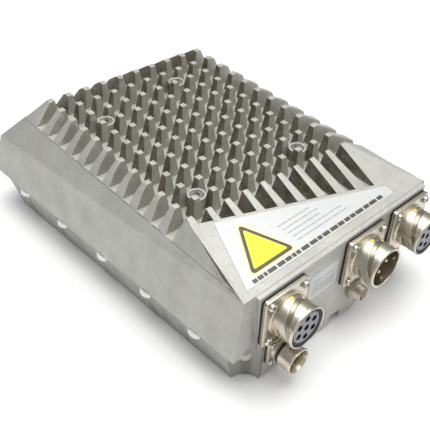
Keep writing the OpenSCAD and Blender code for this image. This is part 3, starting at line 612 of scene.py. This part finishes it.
def signal_receptacle():
    low, high = box_mm("signal_flange")
    cx, cz = middle("signal_flange")
    side = high.x - low.x
    face = FLANGE_BACK - SIGNAL_FLANGE_T
    sleeve_low, sleeve_high = box_mm("signal_sleeve")
    tip, sleeve_back = sleeve_low.y, sleeve_high.y
    holes = [ring_loop(sx * SIGNAL_SCREW_AT, sz * SIGNAL_SCREW_AT, 1.55, 18) for sx, sz in CORNERS]
    plate = flat("plate", [rounded_square(side, 2.2)] + holes, SIGNAL_FLANGE_T, 0.3)
    facing_front(plate, cx, FLANGE_BACK, cz)
    neck = Shape()
    rows = [(8.3, face + 0.1), (8.3, face - 1.7), (8.0, face - 2.1), (NECK_R, face - 2.2)]
    for k in range(8):
        y = face - 2.4 - k * 0.6
        rows += [(NECK_R, y), (NECK_R - 0.35, y - 0.3)]
    rows = [row for row in rows if row[1] > sleeve_back - 2.6]
    rows += [(NECK_R, sleeve_back - 2.8), (5.35, sleeve_back - 2.8), (5.3, high.y),
             (6.45, high.y), (6.5, face + 0.1)]
    neck.lathe((cx, cz), rows, 72)
    mesh = bpy.data.meshes.new("neck")
    mesh.from_pydata([tuple(v) for v in neck.verts], [], neck.faces)
    body = joined("signal_body", [plate, mesh])
    finished("signal_receptacle_body", body, NICKEL, ["signal_flange"], 38)
    sleeve = Shape()
    rim = [(9.6, tip + 1.5), (9.6, tip + 0.35), (9.4, tip + 0.06), (9.1, tip), (8.5, tip),
           (8.32, tip + 0.25), (8.3, sleeve_back - 2.8), (8.1, sleeve_back - 2.6),
           (7.37, sleeve_back - 2.6), (7.37, sleeve_back), (8.9, sleeve_back),
           (SLEEVE_R, sleeve_back - 0.3), (SLEEVE_R, sleeve_back - 2.4), (9.0, sleeve_back - 2.6),
           (9.0, sleeve_back - 2.9), (SLEEVE_R, sleeve_back - 3.1), (SLEEVE_R, tip + 1.8)]
    sleeve.lathe((cx, cz), rim, 96)
    made("signal_receptacle_sleeve", sleeve.verts, sleeve.faces, NICKEL, ["signal_sleeve"], 40)


def sensor_receptacle():
    low, high = box_mm("sensor_body")
    cx, cz = middle("sensor_body")
    tip, back = low.y, high.y
    collar = FRONT_Y - NUT_T
    pitch = 0.85
    rows = [(5.3, back), (5.5, back - 0.2), (5.5, collar), (7.5, collar), (7.6, collar - 0.2),
            (7.6, collar - 0.9), (7.3, collar - 1.25), (THREAD_R, collar - 1.3)]
    y = collar - 1.6
    while y > tip + 1.2:
        rows += [(THREAD_R, y), (THREAD_R - 0.38, y - pitch * 0.45)]
        y -= pitch
    rows += [(5.7, tip + 0.7), (5.6, tip + 0.2), (5.4, tip), (4.95, tip),
             (4.8, tip + 0.2), (4.8, FRONT_Y - 2), (4.0, FRONT_Y - 2), (4.0, back)]
    shape = Shape()
    shape.lathe((cx, cz), rows, 72)
    made("sensor_receptacle_body", shape.verts, shape.faces, NICKEL, ["sensor_body"], 40)
    nut_r = 8.5
    turns = [math.radians(60 * k) for k in range(6)]
    hexagon = arc_loop([(nut_r * math.cos(a), nut_r * math.sin(a), 0.5) for a in turns], 3)
    nut = facing_front(flat("nut", [hexagon, ring_loop(0, 0, 5.6, 40)], NUT_T, 0.3), cx, FRONT_Y, cz)
    finished("sensor_receptacle_nut", nut, NICKEL, ["sensor_nut"], 38)


def index_dots():
    dots = Shape()
    for letter in "abc":
        cx, cz = middle(f"conn_{letter}_shell")
        for deg in DOT_ANGLES:
            centre = Matrix.Translation((cx, FLANGE_BACK - FLANGE_T - 2.6, cz))
            place = centre @ Matrix.Rotation(math.radians(deg), 4, "Y")
            rows = []
            for r in (0.05, 0.7, 1.1, 1.25):
                row = []
                for k in range(20):
                    t = 2 * math.pi * k / 20
                    x, y = r * math.cos(t), r * math.sin(t)
                    z = math.sqrt(BARREL_R ** 2 - x * x) + (0.13 if r < 1.2 else 0.01)
                    row.append(place @ Vector((x, y, z)) * MM)
                rows.append(row)
            dots.grid(rows, caps=True)
    made("index_dots", dots.verts, dots.faces, MARK, ["index_marks"])


# ---------------------------------------------------------------- labels
LAND_TILT = math.atan(0.246)
LAND_DROP = 17.1  # from the pin tips down to the land's front edge
PRINT_T = 0.05
STICKER_CORNER = 1.6


def on_land(mesh, x, y, lift):
    """Lays a flat plate on the sloped land: x across, y up the slope from the front edge, in millimetres."""
    front_z = box_mm("heatsink_casting")[1].z - LAND_DROP
    frame_land = Matrix.Translation(Vector((0, FRONT_Y, front_z)) * MM) @ Matrix.Rotation(LAND_TILT, 4, "X")
    mesh.transform(frame_land @ Matrix.Translation(Vector((x, y, lift)) * MM))
    return mesh


def triangle(radius, corner):
    turns = [math.radians(a) for a in (90, 210, 330)]
    return arc_loop([(radius * math.cos(a), radius * math.sin(a), corner) for a in turns], 8)


def dashes(length, height, seed, gap=0.55):
    """Plain bars of uneven length along a line, in place of wording."""
    source = random.Random(seed)
    loops, x = [], 0.0
    while x < length - 1:
        run = min(source.uniform(2.2, 7.5), length - x)
        loops.append([(x, 0), (x + run, 0), (x + run, height), (x, height)])
        x += run + gap * source.uniform(0.8, 1.6)
    return loops


def labels():
    left, right = -81.8, 58.5
    outline = arc_loop([(left, 8.6, 0.8), (right + 1.2, 8.6, 1.5),
                        (right + 1.4, 15.6, 2.4), (left + 17.6, 57.2, 1.0)], 5)
    sheet = on_land(flat("label", [outline], 0.28, 0.05), 0, 0, 0.02)
    finished("label_sheet", sheet, LABEL, ["nameplate"])
    cx, cy = -52.4, 26.0
    top, second = 0.3, 0.355  # heights of the first and second layer of print above the land
    outer = flat("tri", [triangle(23.6, 2.6)], PRINT_T)
    finished("symbol_rim", on_land(outer, cx, cy, top), PALE_YELLOW)
    dark = flat("tri", [triangle(21.9, 2.0), triangle(17.2, 0.9)[::-1]], PRINT_T)
    finished("symbol_border", on_land(dark, cx, cy, second), INK)
    inner = flat("tri", [triangle(17.0, 0.85)], PRINT_T)
    finished("symbol_field", on_land(inner, cx, cy, second), YELLOW, ["nameplate_symbol"])
    bold = dashes(124, 2.7, 4, 0.9)
    bars = [on_land(flat("bar", [loop], PRINT_T), left + 7.5, 9.9, top) for loop in bold]
    finished("label_bars", joined("bars", bars), INK, ["nameplate_bars"])
    lines = []
    for k, length in enumerate((49, 47, 31, 33, 30)):
        for loop in dashes(length, 0.85, 10 + k, 0.45):
            lines.append(on_land(flat("line", [loop], PRINT_T), -28 - k * 0.9, 17.6 + k * 3.6, top))
    finished("label_lines", joined("lines", lines), GREY_INK)


def sticker():
    low, high = box_mm("serial_sticker")
    cx, cz = middle("serial_sticker")
    wide, tall = high.x - low.x, high.z - low.z
    edge = arc_loop([(sx * wide / 2, sz * tall / 2, STICKER_CORNER) for sx, sz in CORNERS])
    sheet = facing_front(flat("sticker", [edge], 0.16, 0.04), cx, high.y, cz)
    finished("sticker_sheet", sheet, LABEL, ["serial_sticker"])
    source = random.Random(8)
    x, strips = -wide / 2 + 3.5, []
    while x < wide / 2 - 3.5:
        w = source.choice((0.35, 0.5, 0.8))
        strips.append([(x, -7.5), (x + w, -7.5), (x + w, 0.5), (x, 0.5)])
        x += w + source.choice((0.4, 0.6))
    strips.append([(-wide / 2 + 4, 3.2), (-2, 3.2), (-2, 4.3), (-wide / 2 + 4, 4.3)])
    strips.append([(-0.6, 3.2), (wide / 2 - 5, 3.2), (wide / 2 - 5, 4.3), (-0.6, 4.3)])
    marks = [facing_front(flat("strip", [loop], 0.04), cx, low.y + 0.07, cz) for loop in strips]
    finished("sticker_strips", joined("strips", marks), GREY_INK)


soften("heatsink_casting", 0.4)
for letter in "abc":
    power_shell(letter)
front_screws()
signal_receptacle()
sensor_receptacle()
index_dots()
labels()
sticker()


# ---------------------------------------------------------------- stage, lights and camera
def stage_and_lights():
    """Pale paper floor, a sky that is darker at the horizon, and three soft area lights."""
    mesh = bpy.data.meshes.new("floor")
    half = 3.0
    mesh.from_pydata([(sx * half, sy * half, 0) for sx, sy in CORNERS], [], [(0, 1, 2, 3)])
    floor = bpy.data.objects.new("floor", mesh)
    bpy.context.scene.collection.objects.link(floor)
    floor.location.z = CAD_BOX[0][2]
    look = Look("floor_paper", 0.7)
    look.put("Base Color", look.ramp(look.noise(3, 2), (0.3, (0.93, 0.93, 0.935)), (0.7, (0.95, 0.95, 0.95))))
    mesh.materials.append(look.mat)

    world = bpy.data.worlds.new("studio")
    world.use_nodes = True
    back = world.node_tree.nodes["Background"]
    back.inputs["Color"].default_value = (1.0, 1.0, 1.0, 1)
    nodes, links = world.node_tree.nodes, world.node_tree.links
    rise = nodes.new("ShaderNodeSeparateXYZ")
    links.new(nodes.new("ShaderNodeTexCoord").outputs["Generated"], rise.inputs[0])
    glow = nodes.new("ShaderNodeMapRange")
    links.new(rise.outputs["Z"], glow.inputs["Value"])
    for key, value in (("From Min", 0.0), ("From Max", 0.6), ("To Min", 0.16), ("To Max", 0.39)):
        glow.inputs[key].default_value = value
    links.new(glow.outputs["Result"], back.inputs["Strength"])
    bpy.context.scene.world = world
    lamps = [
        ("overhead", (0.05, 0.05, 1.5), (0, 0, 0), 1.5, 29.0, (1.0, 1.0, 0.985)),
        ("side", (-1.3, -0.4, 0.8), (0, 0, 0.03), 0.9, 1.0, (0.97, 0.985, 1.0)),
        ("front", (0.5, -1.3, 0.7), (0, 0, 0.03), 0.8, 3.6, (1.0, 0.99, 0.97)),
    ]
    for name, at, towards, size, power, colour in lamps:
        data = bpy.data.lights.new(name, "AREA")
        data.shape = "SQUARE"
        data.size = size
        data.energy = power
        data.color = colour
        lamp = bpy.data.objects.new(name, data)
        lamp.location = at
        lamp.rotation_euler = (Vector(towards) - Vector(at)).to_track_quat("-Z", "Y").to_euler()
        bpy.context.scene.collection.objects.link(lamp)


def camera():
    """Turn, rise and roll of the view in degrees, then the place of the camera in metres."""
    turn, rise, roll = (math.radians(a) for a in (-46.102, 39.769, 3.467))
    flat_ahead = Vector((-math.sin(turn), math.cos(turn), 0))
    ahead = flat_ahead * math.cos(rise) - Vector((0, 0, math.sin(rise)))
    right = Vector((math.cos(turn), math.sin(turn), 0))
    down = -right.cross(ahead)
    c, s = math.cos(roll), math.sin(roll)
    x_axis = c * right - s * down
    y_axis = -(s * right + c * down)
    data = bpy.data.cameras.new("camera")
    data.lens = 66.04
    data.sensor_width = 36
    data.clip_start = 0.01
    obj = bpy.data.objects.new("camera", data)
    frame_axes = Matrix((x_axis, y_axis, -ahead)).transposed().to_4x4()
    obj.matrix_world = Matrix.Translation(Vector((-0.32775, -0.3208, 0.4026))) @ frame_axes
    bpy.context.scene.collection.objects.link(obj)
    bpy.context.scene.camera = obj


stage_and_lights()
camera()
view = bpy.context.scene.view_settings
view.view_transform = "Standard"
